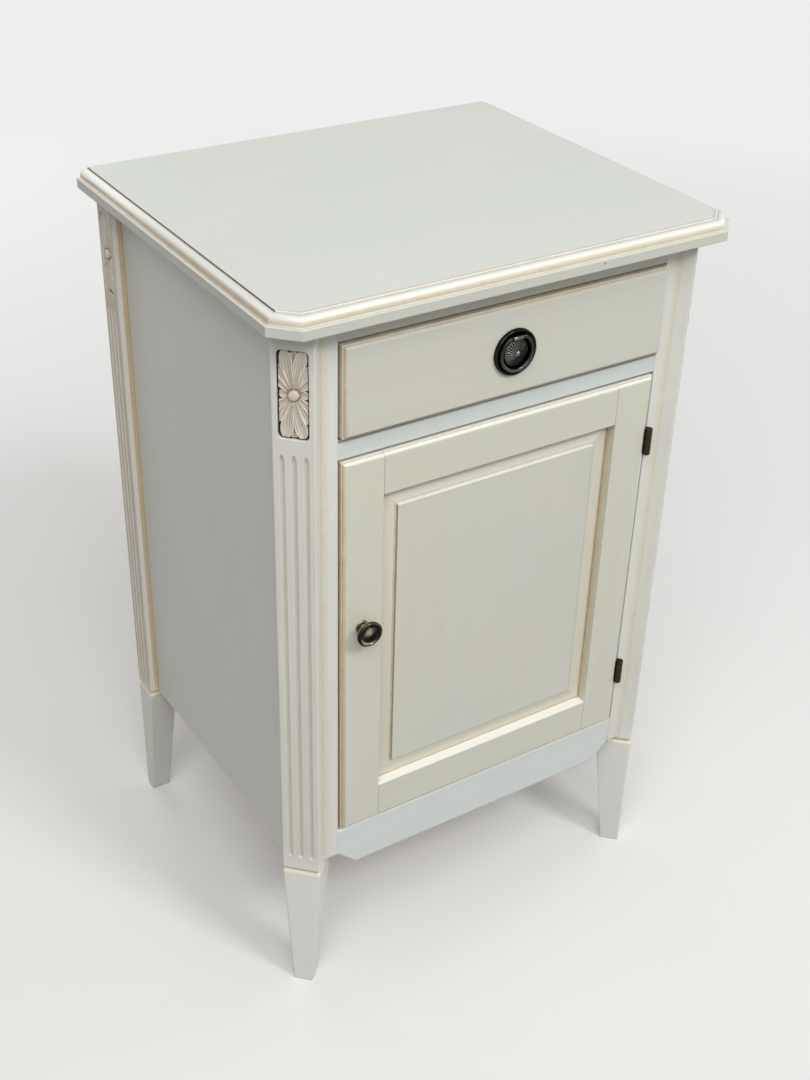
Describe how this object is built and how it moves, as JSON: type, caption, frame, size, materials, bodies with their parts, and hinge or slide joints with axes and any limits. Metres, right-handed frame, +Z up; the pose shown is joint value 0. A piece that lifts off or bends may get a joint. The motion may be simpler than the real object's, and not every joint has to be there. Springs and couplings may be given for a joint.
{
  "type": "side cabinet",
  "caption": "Painted side cabinet with a drawer over a panelled door, canted fluted posts with carved rosettes and tapered legs; drawer slides, door swings, ring pull lifts.",
  "frame": {"origin": "on the floor, under the middle of the top", "axes": "+Z up, the front with drawer and door faces -Y, +X to the right seen from the front"},
  "size_m": [0.45, 0.38, 0.72],
  "materials": {
    "painted_wood": "cream satin paint with worn edges and a brown glaze in the hollows",
    "bare_wood": "bare planed pine",
    "hinge_metal": "dark aged brass",
    "dark_bronze": "dark bronze",
    "brass": "antique brass",
    "steel": "zinc plated",
    "catch_case": "brown plastic"
  },
  "bodies": {
    "carcass": {"top_slab": "painted_wood", "front_post_left": "painted_wood", "front_post_right": "painted_wood", "rear_post_left": "painted_wood", "rear_post_right": "painted_wood", "front_rosette_left": "painted_wood", "front_rosette_right": "painted_wood", "rear_rosette_left": "painted_wood", "rear_rosette_right": "painted_wood", "front_stile_left": "painted_wood", "front_stile_right": "painted_wood", "top_rail": "painted_wood", "middle_rail": "painted_wood", "apron_rail": "painted_wood", "side_panel_left": "painted_wood", "side_panel_right": "painted_wood", "bottom_cleat_left": "bare_wood", "bottom_cleat_right": "bare_wood", "rear_rail_top": "bare_wood", "rear_rail_bottom": "bare_wood", "back_panel": "bare_wood", "bottom_board": "bare_wood", "drawer_runner_left": "bare_wood", "drawer_runner_right": "bare_wood", "drawer_guide_left": "bare_wood", "drawer_guide_right": "bare_wood", "drawer_kicker_left": "bare_wood", "drawer_kicker_right": "bare_wood", "drawer_stops": "bare_wood", "top_screws": "steel", "hinge_upper_frame_leaf": "hinge_metal", "hinge_lower_frame_leaf": "hinge_metal", "hinge_upper_pin": "hinge_metal", "hinge_lower_pin": "hinge_metal", "hinge_frame_screws": "hinge_metal", "catch_magnet": "catch_case"},
    "drawer": {"drawer_front": "painted_wood", "drawer_side_left": "bare_wood", "drawer_side_right": "bare_wood", "drawer_back": "bare_wood", "drawer_bottom": "bare_wood", "pull_backplate": "dark_bronze", "pull_bolt": "steel"},
    "door": {"door_stile_left": "painted_wood", "door_stile_right": "painted_wood", "door_rail_top": "painted_wood", "door_rail_bottom": "painted_wood", "door_panel": "painted_wood", "door_knob": "brass", "knob_screw": "steel", "hinge_upper_door_leaf": "hinge_metal", "hinge_lower_door_leaf": "hinge_metal", "hinge_door_screws": "hinge_metal", "catch_plate": "steel"},
    "pull_ring": {"pull_ring": "dark_bronze"}
  },
  "joints": [
    {"name": "drawer_slide", "type": "slide", "parent": "carcass", "child": "drawer", "axis": [0, -1, 0], "range_m": [0, 0.22]},
    {"name": "door_swing", "type": "hinge", "parent": "carcass", "child": "door", "pos_m": [0.1608, -0.1705, 0], "axis": [0, 0, 1], "range_deg": [0, 160]},
    {"name": "pull_ring_lift", "type": "hinge", "parent": "drawer", "child": "pull_ring", "pos_m": [0, -0.1765, 0.65425], "axis": [-1, 0, 0], "range_deg": [0, 100]}
  ]
}
